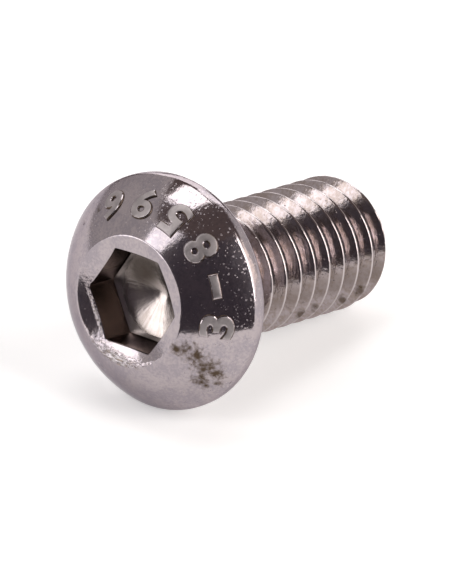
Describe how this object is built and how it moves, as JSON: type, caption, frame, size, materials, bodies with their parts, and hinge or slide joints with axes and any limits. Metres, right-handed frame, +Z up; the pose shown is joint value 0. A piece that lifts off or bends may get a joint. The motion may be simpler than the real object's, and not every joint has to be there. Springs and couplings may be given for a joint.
{
  "type": "button head screw",
  "caption": "Short button head machine screw in stainless steel, with a hexagon socket, a metric thread, a plain neck and a chamfered tip.",
  "frame": {"origin": "on the surface that the screw lies on, under the middle of its box", "axes": "+X along the screw's length, from the head towards the tip, +Y across it and +Z up; the screw's own axis lies in the X-Z plane and drops 10.93 degrees towards the tip"},
  "size_m": [0.0156, 0.0104, 0.0102],
  "materials": {
    "stainless_steel": "polished"
  },
  "bodies": {
    "root": {"button_head_screw": "stainless_steel"}
  },
  "joints": []
}
